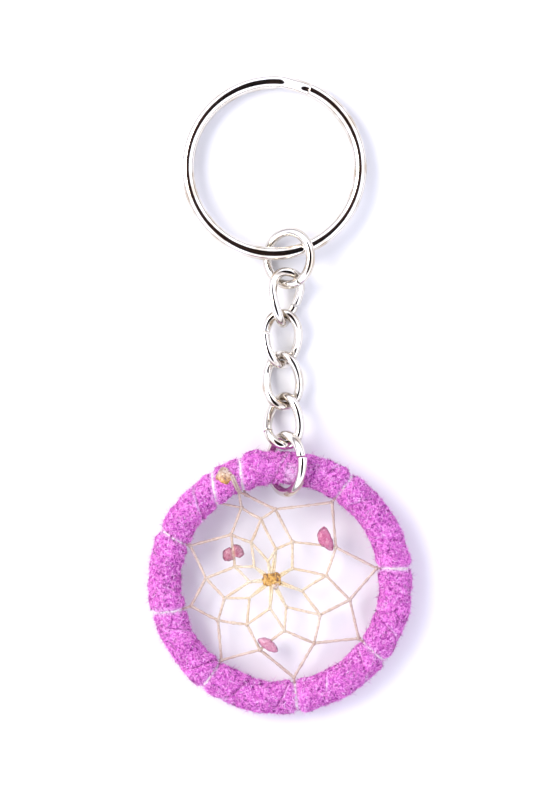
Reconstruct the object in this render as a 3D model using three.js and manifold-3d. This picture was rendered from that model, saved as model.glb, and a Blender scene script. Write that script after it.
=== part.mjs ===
// Dream catcher key chain: a split ring, a short curb chain and a suede-wrapped hoop with a sinew web.
// Millimetres, +Z up. It lies flat: the chain runs along Y, with the key ring at +Y and the hoop at -Y.
// The origin is on the ground, under the middle of the whole piece.

import * as THREE from 'three';
import { mergeVertices } from 'three/addons/utils/BufferGeometryUtils.js';
import Module from 'manifold-3d';

const wasm = await Module();
wasm.setup();

const DEG = Math.PI / 180;

// Split key ring: one flat wire wound in two turns, with one step from the upper turn to the lower.
const KEY_RING_RADIUS = 13.05;
const KEY_WIRE_WIDTH = 1.9;
const KEY_WIRE_HEIGHT = 1.1;
const KEY_WIRE_CHAMFER = 0.3;
const KEY_TURN_GAP = 0.12;
const KEY_STEP_FROM = 86;
const KEY_STEP_TO = 68;
const KEY_UPPER_END = 66;
const KEY_LOWER_END = 88;
const KEY_ANGLE_STEP = 9;
const KEY_RING_TILT = 3.6;

// Round-wire rings and curb links. Every one is bent from straight wire and has a butt joint.
const ROUND_WIRE_SIDES = 8;
const THREAD_SIDES = 6;
const BUTT_GAP_ANGLE = 1.5;
const UPPER_RING = { radius: 4, wire: 0.69, steps: 24, tilt: 36, cutAt: -60 };
const LOWER_RING = { radius: 4.3, wire: 0.72, steps: 24, tilt: 57, cutAt: 20 };
const LINK = { halfWidth: 2.52, halfLength: 3.9, wire: 0.675, twist: 34, roundness: 2.3, steps: 26, cutAt: 100 };

// Hoop: a round core, one suede lace wound round it, and sinew loops sunk into the lace.
const HOOP_RADIUS = 17.4;
const HOOP_TILT = 2.7;
const CORE_RADIUS = 1.25;
const LACE_TURNS = 16;
const LACE_STEPS_PER_TURN = 10;
const LACE_INNER_RADIUS = 1.48;
const LACE_OUTER_RADIUS = 2.42;
const LACE_EDGE_DROP = 0.22;
const LACE_SEAM_GAP = 0.035;
const LACE_START = 96;
const LOOP_RADIUS = 2.1;
const GROOVE_RADIUS = 1.82;
const GROOVE_WIDTH = 0.75;

// Sinew thread, its knots, the stone chips on it and the glue drops.
const THREAD_RADIUS = 0.2;
const DOUBLE_THREAD_RADIUS = 0.27;
const HITCH_RADIUS = 0.3;
const CENTRE_KNOT = [-1.28, 0.42];
const CENTRE_KNOT_RADIUS = 0.6;
const BEAD_HOLE_RADIUS = 0.34;
const LOOPS = 9;

// The thread's stitches in order, in the hoop's plane from its centre. The first nine are at the loops
// round the hoop. Each later one is hitched to the stretch that lies nine stitches before it.
const STITCHES = [
  [-5.15, 13.3], [7.81, 12.15], [14.54, 2.18], [11.84, -8.44], [2.05, -14.34], [-8.89, -11.75],
  [-14.2, -3.78], [-13.59, 5.61], [-5.85, 11.35],
  [-0.74, 11.09], [8.38, 5.34], [10.49, -2.59], [5.1, -9.15], [-3.07, -10.17], [-9.39, -5.69],
  [-11.21, 0.69], [-7.39, 7.27], [-2.92, 9.63],
  [1.82, 6.17], [6.92, 1.07], [6.02, -4.86], [0.63, -7.24], [-5.01, -6.32], [-8.4, -2.32],
  [-6.85, 2.42], [-4.38, 6.08], [-0.65, 5.07],
  [1.82, 2.15], [3.28, -1.22], [0.9, -3.67], [-1.55, -3.87], [-4.65, -2.32], [-4.65, 0.15],
  [-3.93, 2.42], [-1.82, 3.25],
];
const LAST_ROUND = STITCHES.length - LOOPS;

// Stone chips: the stretch of thread each is on, how far along it, and the chip's size.
const BEADS = [
  { name: 'bead_1', from: 16, to: 24, along: 0.56, size: [2.6, 3.5, 2.2], offset: 0, turn: 4 },
  { name: 'bead_2', from: 18, to: 10, along: 0.74, size: [2.4, 3.8, 2.1], offset: 1.05, turn: 0 },
  { name: 'bead_3', from: 21, to: 13, along: 0.71, size: [2.2, 3.2, 2], offset: 0, turn: 18 },
];

// Where each link lies: its centre, and its turns about Z (lean), X (pitch) and Y (roll), in degrees.
const LINKS = [
  { name: 'chain_link_1', at: [0.79, 14.41, 2.73], lean: -5.46, pitch: 2.71, roll: 42.43 },
  { name: 'chain_link_2', at: [0.27, 8.18, 2.07], lean: -0.46, pitch: 4.33, roll: 12.4 },
  { name: 'chain_link_3', at: [0.39, 1.91, 1.92], lean: 3.58, pitch: -3.26, roll: -9.13 },
  { name: 'chain_link_4', at: [0.49, -4.22, 3.04], lean: 3.45, pitch: -21.72, roll: -16.99 },
];
const KEY_RING_AT = [-0.95, 34.15];
const UPPER_RING_AT = [1.25, 20.54];
const LOWER_RING_AT = [0.83, -10.6];
const HOOP_AT = [0, -28.5];

const nickel = () => new THREE.MeshStandardMaterial({ color: 0xd9d6cf, roughness: 0.16, metalness: 1 });
const steel = () => new THREE.MeshStandardMaterial({ color: 0x9a9a98, roughness: 0.4, metalness: 1 });
const suede = () => new THREE.MeshStandardMaterial({ color: 0xcf5fd0, roughness: 1, metalness: 0 });
const sinew = () => new THREE.MeshStandardMaterial({ color: 0xe3cda4, roughness: 0.55, metalness: 0 });
const amber = () => new THREE.MeshStandardMaterial({ color: 0xb8822e, roughness: 0.25, metalness: 0 });
const stone = () => new THREE.MeshStandardMaterial({ color: 0xc26a86, roughness: 0.3, metalness: 0 });

function named(name, geometry, material) {
  const mesh = new THREE.Mesh(geometry, material);
  mesh.name = name;
  return mesh;
}

function toSolid(geometry) {
  const bare = geometry.clone();
  bare.deleteAttribute('normal');
  bare.deleteAttribute('uv');
  const merged = mergeVertices(bare, 1e-4);
  const vertProperties = new Float32Array(merged.attributes.position.array);
  const triVerts = new Uint32Array(merged.index.array);
  return new wasm.Manifold(new wasm.Mesh({ numProp: 3, vertProperties, triVerts }));
}

function toGeometry(solid) {
  const mesh = solid.getMesh();
  const geometry = new THREE.BufferGeometry();
  geometry.setAttribute('position', new THREE.BufferAttribute(mesh.vertProperties, 3));
  geometry.setIndex(new THREE.BufferAttribute(mesh.triVerts, 1));
  return geometry;
}

function joined(geometries) {
  let solid = toSolid(geometries[0]);
  for (const geometry of geometries.slice(1)) {
    solid = solid.add(toSolid(geometry));
  }
  return solid;
}

// A closed skin over a row of sections, each a list of points in the same order, with fan end caps.
function skinned(sections) {
  const sides = sections[0].length;
  const points = sections.flat();
  const index = [];
  for (let s = 0; s < sections.length - 1; s += 1) {
    for (let k = 0; k < sides; k += 1) {
      const a = s * sides + k;
      const b = s * sides + ((k + 1) % sides);
      index.push(a, b, b + sides, a, b + sides, a + sides);
    }
  }
  const last = (sections.length - 1) * sides;
  for (let k = 1; k < sides - 1; k += 1) {
    index.push(0, k + 1, k);
    index.push(last, last + k, last + k + 1);
  }
  const geometry = new THREE.BufferGeometry().setFromPoints(points);
  geometry.setIndex(index);
  return geometry;
}

// A round wire or thread along a curve.
function wireAlong(curve, radius, steps, sides = ROUND_WIRE_SIDES) {
  const corners = [];
  for (let k = 0; k < sides; k += 1) {
    const angle = ((k + 0.5) / sides) * 2 * Math.PI;
    corners.push(new THREE.Vector2(radius * Math.cos(angle), radius * Math.sin(angle)));
  }
  return new THREE.ExtrudeGeometry(new THREE.Shape(corners), { extrudePath: curve, steps });
}

// One turn of an oval with its ends twisted opposite ways, open at the butt joint.
class BentLoop extends THREE.Curve {
  constructor({ halfWidth, halfLength, twist, roundness, cutAt }) {
    super();
    this.halfWidth = halfWidth;
    this.halfLength = halfLength;
    this.twist = twist;
    this.power = 2 / roundness;
    this.cutAt = cutAt;
  }

  getPoint(t, target = new THREE.Vector3()) {
    const angle = (this.cutAt + BUTT_GAP_ANGLE / 2 + t * (360 - BUTT_GAP_ANGLE)) * DEG;
    const across = Math.sign(Math.cos(angle)) * Math.abs(Math.cos(angle)) ** this.power;
    const along = Math.sign(Math.sin(angle)) * Math.abs(Math.sin(angle)) ** this.power;
    const turn = this.twist * DEG * along;
    const x = this.halfWidth * across;
    return target.set(x * Math.cos(turn), this.halfLength * along, x * Math.sin(turn));
  }
}

function roundRing({ radius, wire, steps, cutAt }) {
  const loop = new BentLoop({ halfWidth: radius, halfLength: radius, twist: 0, roundness: 2, cutAt });
  return wireAlong(loop, wire, steps);
}

function curbLink() {
  return wireAlong(new BentLoop(LINK), LINK.wire, LINK.steps);
}

// The split ring's wire starts at its upper end, goes once round, steps down and goes round again.
function keyRing() {
  const total = KEY_UPPER_END - KEY_LOWER_END + 720;
  const upperTurn = KEY_UPPER_END + 360 - KEY_STEP_FROM;
  const stepLength = KEY_STEP_FROM - KEY_STEP_TO;
  const level = (KEY_WIRE_HEIGHT + KEY_TURN_GAP) / 2;
  const halfWidth = KEY_WIRE_WIDTH / 2;
  const halfHeight = KEY_WIRE_HEIGHT / 2;
  const c = KEY_WIRE_CHAMFER;
  const corners = [
    [-halfWidth + c, -halfHeight], [halfWidth - c, -halfHeight], [halfWidth, -halfHeight + c],
    [halfWidth, halfHeight - c], [halfWidth - c, halfHeight], [-halfWidth + c, halfHeight],
    [-halfWidth, halfHeight - c], [-halfWidth, -halfHeight + c],
  ];
  const steps = Math.round(total / KEY_ANGLE_STEP);
  const sections = [];
  for (let s = 0; s <= steps; s += 1) {
    const travelled = (s / steps) * total;
    const angle = (KEY_UPPER_END - travelled) * DEG;
    const down = THREE.MathUtils.smoothstep(travelled, upperTurn, upperTurn + stepLength);
    const z = level * (1 - 2 * down);
    sections.push(corners.map(([across, up]) => new THREE.Vector3(
      (KEY_RING_RADIUS + across) * Math.cos(angle),
      (KEY_RING_RADIUS + across) * Math.sin(angle),
      z + up,
    )));
  }
  return skinned(sections);
}

// A point on or round the hoop's tube: angle round the hoop, angle round the tube, distance from its middle.
function tubePoint(aroundHoop, aroundTube, distance) {
  const reach = HOOP_RADIUS + distance * Math.cos(aroundTube);
  const x = reach * Math.cos(aroundHoop);
  const y = reach * Math.sin(aroundHoop);
  return new THREE.Vector3(x, y, distance * Math.sin(aroundTube));
}

function hoopCore() {
  const profile = [];
  for (let k = 0; k <= ROUND_WIRE_SIDES; k += 1) {
    const angle = (k / ROUND_WIRE_SIDES) * 2 * Math.PI;
    profile.push(new THREE.Vector2(HOOP_RADIUS + CORE_RADIUS * Math.cos(angle), CORE_RADIUS * Math.sin(angle)));
  }
  return new THREE.LatheGeometry(profile, 40).rotateX(Math.PI / 2);
}

// The lace covers one pitch of the hoop in each turn round the core, so its edges meet all the way.
function laceStrip() {
  const pitch = (2 * Math.PI) / LACE_TURNS;
  const reach = pitch / 2 - LACE_SEAM_GAP / 2;
  const outer = [-1, -0.5, 0, 0.5, 1].map((w) => [w * reach, LACE_OUTER_RADIUS - LACE_EDGE_DROP * w * w]);
  const section = [[0, LACE_INNER_RADIUS], [-reach, LACE_INNER_RADIUS], ...outer, [reach, LACE_INNER_RADIUS]];
  const steps = LACE_TURNS * LACE_STEPS_PER_TURN;
  const endGap = 0.15;
  const sections = [];
  for (let s = 0; s <= steps; s += 1) {
    const aroundTube = endGap + (s / steps) * (LACE_TURNS * 2 * Math.PI - 2 * endGap);
    const middle = LACE_START * DEG + (aroundTube / (2 * Math.PI)) * pitch;
    sections.push(section.map(([across, distance]) => tubePoint(middle + across, aroundTube, distance)));
  }
  return skinned(sections);
}

function stitchAngle(k) {
  return Math.atan2(STITCHES[k][1], STITCHES[k][0]);
}

// Turns a shape lying round the Z axis so that it goes round the hoop's tube at an angle.
function roundTheTube(geometry, angle) {
  geometry.rotateX(Math.PI / 2);
  geometry.rotateZ(angle);
  return geometry.translate(HOOP_RADIUS * Math.cos(angle), HOOP_RADIUS * Math.sin(angle), 0);
}

function groove(angle) {
  const ring = new THREE.Shape().absarc(0, 0, LACE_OUTER_RADIUS + 0.6, 0, 2 * Math.PI);
  ring.holes.push(new THREE.Path().absarc(0, 0, GROOVE_RADIUS, 0, 2 * Math.PI, true));
  const cutter = new THREE.ExtrudeGeometry(ring, { depth: GROOVE_WIDTH, bevelEnabled: false, curveSegments: 6 });
  return roundTheTube(cutter.translate(0, 0, -GROOVE_WIDTH / 2), angle);
}

function suedeWrap() {
  let lace = toSolid(laceStrip());
  for (let k = 0; k < LOOPS; k += 1) {
    lace = lace.subtract(toSolid(groove(stitchAngle(k))));
  }
  return toGeometry(lace);
}

function inPlane([x, y]) {
  return new THREE.Vector3(x, y, 0);
}

function strand(from, to, radius) {
  return wireAlong(new THREE.LineCurve3(from, to), radius, 1, THREAD_SIDES);
}

function knotAt([x, y], radius, detail) {
  return new THREE.OctahedronGeometry(radius, detail).translate(x, y, 0);
}

// The whole thread: loops round the hoop, the stretches between stitches, the hitches and the centre knot.
function sinewWeb() {
  const pieces = [knotAt(CENTRE_KNOT, CENTRE_KNOT_RADIUS, 1)];
  for (let k = 0; k < LAST_ROUND; k += 1) {
    const hitch = inPlane(STITCHES[k + LOOPS]);
    pieces.push(strand(inPlane(STITCHES[k]), hitch, THREAD_RADIUS));
    pieces.push(strand(hitch, inPlane(STITCHES[k + 1]), THREAD_RADIUS));
    pieces.push(knotAt(STITCHES[k + LOOPS], HITCH_RADIUS, 0));
  }
  for (let k = LAST_ROUND; k < STITCHES.length; k += 1) {
    pieces.push(strand(inPlane(STITCHES[k]), inPlane(CENTRE_KNOT), DOUBLE_THREAD_RADIUS));
  }
  for (let k = 0; k < LOOPS; k += 1) {
    const angle = stitchAngle(k);
    pieces.push(roundTheTube(new THREE.TorusGeometry(LOOP_RADIUS, THREAD_RADIUS, THREAD_SIDES, 14), angle));
    pieces.push(strand(tubePoint(angle, Math.PI, LOOP_RADIUS), inPlane(STITCHES[k]), THREAD_RADIUS));
    pieces.push(knotAt(STITCHES[k], HITCH_RADIUS, 0));
  }
  return toGeometry(joined(pieces));
}

// A tumbled stone chip with a straight hole. The thread runs along its X, near its middle or its end.
function stoneChip({ size, offset, turn }) {
  const chip = new THREE.IcosahedronGeometry(1, 1);
  chip.rotateZ(turn * DEG * 3);
  chip.scale(size[0] / 2, size[1] / 2, size[2] / 2);
  chip.rotateZ(turn * DEG);
  chip.translate(0, offset, 0);
  const length = size[0] * 2;
  const hole = new THREE.CylinderGeometry(BEAD_HOLE_RADIUS, BEAD_HOLE_RADIUS, length, 10).rotateZ(Math.PI / 2);
  return toGeometry(toSolid(chip).subtract(toSolid(hole)));
}

function threadedChip(bead) {
  const from = inPlane(STITCHES[bead.from]);
  const to = inPlane(STITCHES[bead.to]);
  const chip = named(bead.name, stoneChip(bead), stone());
  chip.position.lerpVectors(from, to, bead.along);
  chip.rotation.z = Math.atan2(to.y - from.y, to.x - from.x);
  return chip;
}

// A glue drop on the centre knot, above the threads.
function centreGlue() {
  const drop = new THREE.IcosahedronGeometry(1, 2).scale(1.3, 1.15, 0.85);
  const below = new THREE.BoxGeometry(4, 4, 2).translate(0, 0, -1 + DOUBLE_THREAD_RADIUS + 0.15);
  const knot = new THREE.IcosahedronGeometry(CENTRE_KNOT_RADIUS + 0.12, 2);
  return toGeometry(toSolid(drop).subtract(toSolid(below)).subtract(toSolid(knot)));
}

// A glue drop over the thread's first knot, on top of the suede and a little outside its middle.
function startGlue() {
  const drop = new THREE.IcosahedronGeometry(1, 2).scale(1.35, 1.45, 0.8).translate(0.75, 0, 2.4);
  const reach = LACE_OUTER_RADIUS + 0.2;
  const tube = new THREE.CylinderGeometry(reach, reach, 6, 24);
  return toGeometry(toSolid(drop).subtract(toSolid(tube)));
}

function hoopWithWeb() {
  const hoop = new THREE.Group();
  hoop.add(named('hoop_core', hoopCore(), steel()));
  hoop.add(named('suede_wrap', suedeWrap(), suede()));
  hoop.add(named('sinew_web', sinewWeb(), sinew()));
  for (const bead of BEADS) {
    hoop.add(threadedChip(bead));
  }
  const centre = named('centre_glue', centreGlue(), amber());
  centre.position.set(CENTRE_KNOT[0], CENTRE_KNOT[1], 0);
  hoop.add(centre);
  const start = named('start_glue', startGlue(), amber());
  const angle = stitchAngle(LOOPS - 1);
  start.position.set(HOOP_RADIUS * Math.cos(angle), HOOP_RADIUS * Math.sin(angle), 0);
  start.rotation.z = angle;
  hoop.add(start);
  hoop.rotation.x = HOOP_TILT * DEG;
  hoop.position.set(...HOOP_AT, LACE_OUTER_RADIUS + HOOP_RADIUS * Math.sin(HOOP_TILT * DEG));
  return hoop;
}

// A round ring leaning with its +X side up and its -X side on the ground.
function leaningRing(name, ring, [x, y]) {
  const mesh = named(name, roundRing(ring), nickel());
  mesh.rotation.y = -ring.tilt * DEG;
  mesh.position.set(x, y, ring.wire + ring.radius * Math.sin(ring.tilt * DEG));
  return mesh;
}

function keyChain() {
  const whole = new THREE.Group();
  const key = named('key_ring', keyRing(), nickel());
  const halfThickness = KEY_WIRE_HEIGHT + KEY_TURN_GAP / 2;
  const outerRadius = KEY_RING_RADIUS + KEY_WIRE_WIDTH / 2;
  const tilt = KEY_RING_TILT * DEG;
  key.rotation.x = -tilt;
  key.position.set(...KEY_RING_AT, outerRadius * Math.sin(tilt) + halfThickness * Math.cos(tilt));
  whole.add(key);
  whole.add(leaningRing('upper_jump_ring', UPPER_RING, UPPER_RING_AT));
  for (const { name, at, lean, pitch, roll } of LINKS) {
    const link = named(name, curbLink(), nickel());
    link.position.set(...at);
    link.rotation.set(pitch * DEG, roll * DEG, lean * DEG, 'ZXY');
    whole.add(link);
  }
  whole.add(leaningRing('lower_jump_ring', LOWER_RING, LOWER_RING_AT));
  whole.add(hoopWithWeb());
  return whole;
}

// Sets the model on the ground with its footprint centred on the origin.
function centred(model) {
  const box = new THREE.Box3().setFromObject(model, true);
  const middle = box.getCenter(new THREE.Vector3());
  model.position.set(-middle.x, -middle.y, -box.min.z);
  model.updateMatrixWorld(true);
  return model;
}

export default centred(keyChain());
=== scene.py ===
"""The looks of a dream catcher key chain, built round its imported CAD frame. Metres, +Z up, lying flat."""

import math

import bpy
import numpy as np
from mathutils import Matrix, Vector


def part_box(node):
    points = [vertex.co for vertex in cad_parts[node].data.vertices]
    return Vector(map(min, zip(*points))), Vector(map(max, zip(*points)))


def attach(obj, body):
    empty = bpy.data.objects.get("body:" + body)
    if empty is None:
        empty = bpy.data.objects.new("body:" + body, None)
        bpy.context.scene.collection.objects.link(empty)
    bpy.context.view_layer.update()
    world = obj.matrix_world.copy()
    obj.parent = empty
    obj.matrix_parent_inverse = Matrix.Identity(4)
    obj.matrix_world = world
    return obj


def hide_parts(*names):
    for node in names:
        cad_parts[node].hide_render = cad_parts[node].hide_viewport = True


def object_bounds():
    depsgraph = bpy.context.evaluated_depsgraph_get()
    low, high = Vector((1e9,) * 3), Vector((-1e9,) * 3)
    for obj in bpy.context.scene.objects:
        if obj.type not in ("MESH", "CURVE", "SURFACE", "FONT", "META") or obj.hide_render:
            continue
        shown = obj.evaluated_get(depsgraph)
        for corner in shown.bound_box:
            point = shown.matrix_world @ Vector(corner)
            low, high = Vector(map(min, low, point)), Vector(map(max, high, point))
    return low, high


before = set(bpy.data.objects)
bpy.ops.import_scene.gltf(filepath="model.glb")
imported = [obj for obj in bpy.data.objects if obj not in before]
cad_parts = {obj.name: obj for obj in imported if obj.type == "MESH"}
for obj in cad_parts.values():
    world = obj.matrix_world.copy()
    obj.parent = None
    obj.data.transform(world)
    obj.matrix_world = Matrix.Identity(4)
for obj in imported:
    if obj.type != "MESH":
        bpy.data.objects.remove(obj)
CAD_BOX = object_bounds()

MM = 0.001

# Driving sizes in millimetres and degrees, close to the CAD part's.
KEY_RING = dict(radius=13.05, width=1.9, height=1.12, gap=0.1, tilt=3.6)
KEY_STEP_FROM = 86
KEY_STEP_TO = 68
KEY_UPPER_END = 66
KEY_LOWER_END = 88
KEY_STEP_DRAWN_IN = 0.05
KEY_SWELL = 0.03
KEY_END_SIZE = 0.9

# The split ring's flat wire: how round its faces are, and how far each one rises, in wire heights.
KEY_UPPER_FACE = dict(roundness=1.9, rise=0.7)
KEY_LOWER_FACE = dict(roundness=3.6, rise=0.3)
KEY_WIRE_DROP = 0.2

# In the rings and links, wire is the wire's radius, and offset how far its ends are out of line.
UPPER_RING = dict(radius=4.0, wire=0.7, tilt=36, cut_at=-60, offset=0.05)
LOWER_RING = dict(radius=4.3, wire=0.73, tilt=57, cut_at=14, offset=0.12)
LINK = dict(half_width=2.52, half_length=3.9, wire=0.69, twist=34, roundness=2.3, offset=0.03)
LINK_TURNS = {  # pitch about X, roll about Y, lean about Z, and where the butt joint is, in degrees
    "chain_link_1": (2.71, 42.43, -5.46, -12),
    "chain_link_2": (4.33, 12.4, -0.46, 170),
    "chain_link_3": (-3.26, -9.13, 3.58, 97),
    "chain_link_4": (-21.72, -16.99, 3.45, 200),
}
HOOP_RADIUS = 17.4
HOOP_TILT = 2.7
WRAP_RADIUS = 2.4
LACE_TURNS = 16
LACE_START = 96
LACE_INNER_RADIUS = 1.48
LOOPS = 9
CENTRE_KNOT = (-1.28, 0.42)

# The gap of a butt joint. The bevel of a cut wire, as shares of one step along it and of its radius.
BUTT_GAP = 0.16
BEVEL_LENGTH = 0.25
BEVEL_RADIUS = 0.86

# How strong the painted brown shade is inside the ends of each piece, where it meets its neighbours.
LINK_JOINT_SHADE = 0.75
JOINT_SHADE = {"key_ring": 0.0, "upper_jump_ring": 0.2, "lower_jump_ring": 0.08}

# The thread's radius in each place, and the size of a hitch in the web and at the hoop.
STRAND_RADIUS = 0.215
STRAND_FLATNESS = 0.82
DOUBLED_RADIUS = 0.19
START_RADIUS = 0.2
TAIL_RADIUS = 0.17
HITCH_RADIUS = 0.15
HITCH_SIZE = 0.24
HOOP_HITCH_SIZE = 0.22

# Each stone chip: its half thickness, the seed of its flats, the stitches at its thread's ends, how deep the
# thread has cut into it and how strongly it has stained it, and its outline from above, from its middle.
CHIPS = {
    "bead_1": dict(half_thickness=1.05, seed=81, thread=(16, 24), groove=0.35, stain=0.8, outline=[
        (-1.65, -0.27), (-1.58, -0.75), (-1.30, -1.22), (-0.67, -1.33), (-0.03, -1.10), (0.36, -0.62),
        (1.00, -0.80), (1.50, -0.50), (1.72, -0.24), (1.43, 0.60), (1.08, 1.05), (0.52, 1.29),
        (-0.03, 1.17), (-0.24, 0.55), (-0.54, 0.87), (-1.14, 0.60), (-1.54, 0.28)]),
    "bead_2": dict(half_thickness=1.0, seed=83, thread=(18, 10), groove=0.0, stain=0.0, outline=[
        (-0.30, 1.97), (0.16, 1.75), (0.73, 0.81), (1.09, -0.08), (1.27, -0.97), (1.09, -1.80),
        (0.47, -1.66), (-0.60, -1.00), (-1.25, -0.28), (-1.28, 0.54), (-0.98, 1.43)]),
    "bead_3": dict(half_thickness=0.95, seed=85, thread=(21, 13), groove=0.0, stain=0.0, outline=[
        (-1.54, 0.69), (-1.22, 0.96), (-0.37, 1.06), (0.47, 0.77), (1.13, 0.19), (1.57, -0.48),
        (1.70, -1.22), (1.23, -1.30), (0.30, -1.06), (-0.53, -0.56), (-1.13, 0.0)]),
}
CHIP_FLATS = 7

# Glue drops: half sizes, lumpiness, how pale the lower and upper sides are, and how far they sag. On the run
# this paleness is a painted glint.
CENTRE_DROP = dict(size=(1.5, 1.1, 0.75), seed=71, rough=0.13, pale_and_glint=(0.0, 0.0), sag=0.0)
# The run's whitish colour is a painted highlight.
CENTRE_RUN = dict(size=(0.62, 0.6, 0.5), seed=73, rough=0.14, pale_and_glint=(1.0, 0.5), sag=0.0)
START_DROP = dict(size=(1.4, 1.35, 0.72), seed=75, rough=0.1, pale_and_glint=(-0.1, 0.8), sag=0.12)
START_DROP_REACH = HOOP_RADIUS + 0.75
START_DROP_HEIGHT = 2.3

# The camera, floor and light, in metres. The margin is the frame's height over the CAD box's length.
CAMERA_DISTANCE = 0.55
CAMERA_MARGIN = 1.249
CAMERA_ASIDE = (-0.0008, -0.0009)
SENSOR_HEIGHT = 36
FLOOR_SIZE = 3
FLOOR_DROP = 0.00002
KEY_LIGHT = dict(place=(-0.53, 0.2, 0.53), size=0.5, power=4.3, colour=(1.0, 0.95, 0.86))
WORLD_STRENGTH = 2.35

# The dark strip overhead, as sines of the angles from straight up.
STRIP_HALF_WIDTH = 0.48
STRIP_HALF_LENGTH = 0.74

# The web thread's stitches, round by round, in the hoop's plane and in millimetres from its centre.
STITCHES = [
    (-5.15, 13.3), (7.81, 12.15), (14.54, 2.18), (11.84, -8.44), (2.05, -14.34), (-8.89, -11.75),
    (-13.45, -3.5), (-13.59, 5.61), (-5.85, 11.35),
    (-0.74, 11.09), (8.38, 5.34), (10.49, -2.59), (5.1, -9.15), (-3.07, -10.17), (-9.39, -5.69),
    (-11.21, 0.69), (-7.39, 7.27), (-2.92, 9.63),
    (1.82, 6.17), (6.92, 1.07), (6.02, -4.86), (0.63, -7.24), (-5.01, -6.32), (-8.4, -2.32),
    (-6.85, 2.42), (-4.38, 6.08), (-0.65, 5.07),
    (1.82, 2.15), (3.28, -1.22), (0.9, -3.67), (-1.55, -3.87), (-4.65, -2.32), (-4.65, 0.15),
    (-3.93, 2.42), (-1.82, 3.25),
]
LAST_ROUND = len(STITCHES) - LOOPS

# The suede's swells, tufts and pits: height and length in millimetres, and a seed.
SUEDE_SWELLS = ((0.09, 6.0, 11), (0.08, 2.2, 12))
SUEDE_TUFTS = (0.06, 0.8, 21)
SUEDE_PITS = (0.045, 0.42, 22)

# The seams between turns of the lace: their range of depths, and half the open gap in radians.
SEAM_DEPTHS = (0.06, 0.34)
SEAM_WIDTH = 0.3
SEAM_HALF_GAP = 0.0012

# The sinew loops pinch the suede, two of them less deeply, and push up a lip at each side.
PINCH_DEPTH = 0.5
SHALLOW_PINCH_DEPTH = 0.3
SHALLOW_PINCHES = (0, 8)
PINCH_WIDTH = 0.5
LIP_HEIGHT = 0.1
LIP_AWAY = 1.3
LIP_WIDTH = 0.7

# The lace's overlapping end stands up at one place, and the rings keep the suede flat beside it.
LAP_AT = 100.5
LAP_REACH = 0.095
LAP_HEIGHT = 0.6
PRESSED_AT = 91.2
PRESSED_REACH = 0.115
PRESSED_RADIUS = 2.29
PRESSED_BULGE = 0.1

# Where the lower jump ring has rubbed the suede: angles round the hoop and round its tube in degrees, and
# how far the place reaches each way in radians.
RUBBED_AT = (84.5, 120)
RUBBED_REACH = (0.06, 0.8)
RUBBED_SHADE = 0.6

# The lace's cut edges beside the seams: how pale they can be, where they lie, and the palest one.
CUT_EDGE_SHADES = [0.2, 0.5, 0.95]
CUT_EDGE_AWAY = 0.24
CUT_EDGE_WIDTH = 0.2
PALE_SEAM = 13
PALE_SEAM_SHADE = 1.3

# The suede's fibres: how many are tried, and their ranges of length, width and rise out of the surface.
SHORT_FIBRES = dict(count=44000, seed=51, length=(0.25, 0.5), width=(0.06, 0.12), lift=(0.08, 0.5))
LONG_FIBRES = dict(count=7000, seed=57, length=(0.4, 0.8), width=(0.03, 0.05), lift=(0.35, 0.9))

# Sinew loops over the suede: angles at the hoop's inner and outer edge in degrees, and how bare each lies.
SUEDE_LOOPS = [
    (111.5, 108.0, 0.8), (57.1, 56.2, 0.35), (8.5, 6.5, 0.8), (324.5, 323.0, 0.4), (278.1, 277.6, 0.7),
    (232.9, 233.2, 0.3), (195.1, 193.2, 1.0), (157.8, 155.9, 0.4), (128.5, 121.5, 0.8),
]


def mean_place(node):
    """The mean of a CAD node's vertices at rest, in metres."""
    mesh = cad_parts[node].data
    points = np.zeros(len(mesh.vertices) * 3)
    mesh.vertices.foreach_get("co", points)
    return Vector(points.reshape(-1, 3).mean(axis=0))


def box_middle(node):
    """The middle of a CAD node's box at rest, in metres."""
    low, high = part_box(node)
    return (Vector(low) + Vector(high)) / 2


def placed(points, turn, centre):
    """Points in millimetres, turned and moved to a centre in metres."""
    return points @ np.array(turn).T * MM + np.array(centre)


def bell(away, width):
    """One at no distance, falling off smoothly."""
    return np.exp(-((away / width) ** 2))


def plateau(away, width):
    """One up to most of a width away, and then falling off quickly."""
    return np.exp(-((away / width) ** 4))


def circle(count):
    """Evenly spaced angles once round, in radians."""
    return np.linspace(0, math.tau, count, endpoint=False)


def signed_power(values, power):
    """A power that keeps each value's sign."""
    return np.sign(values) * np.abs(values) ** power


def wave_noise(points, size, seed):
    """A smooth random field, mostly between -1 and 1, with features of one size."""
    waves = 44
    rng = np.random.default_rng(seed)
    directions = rng.normal(size=(waves, 3))
    directions /= np.linalg.norm(directions, axis=1)[:, None]
    lengths = size * rng.uniform(0.7, 1.5, waves)
    phases = rng.uniform(0, math.tau, waves)
    steps = directions * (math.tau / lengths)[:, None]
    return np.sin(points @ steps.T + phases).sum(axis=1) / math.sqrt(waves)


def mesh_object(name, points, faces, material):
    """A smooth mesh object of points in metres. Each group of faces is an array of corners."""
    mesh = bpy.data.meshes.new(name)
    counts = np.concatenate([np.full(len(group), group.shape[1]) for group in faces])
    corners = np.concatenate([group.ravel() for group in faces])
    mesh.vertices.add(len(points))
    mesh.vertices.foreach_set("co", np.asarray(points, dtype=np.float32).ravel())
    mesh.loops.add(len(corners))
    mesh.loops.foreach_set("vertex_index", corners.astype(np.int32))
    mesh.polygons.add(len(counts))
    starts = np.concatenate([[0], np.cumsum(counts)[:-1]])
    mesh.polygons.foreach_set("loop_start", starts.astype(np.int32))
    mesh.polygons.foreach_set("use_smooth", np.ones(len(counts), dtype=bool))
    mesh.update(calc_edges=True)
    mesh.validate()
    mesh.materials.append(material)
    piece = bpy.data.objects.new(name, mesh)
    bpy.context.scene.collection.objects.link(piece)
    return piece


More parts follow.
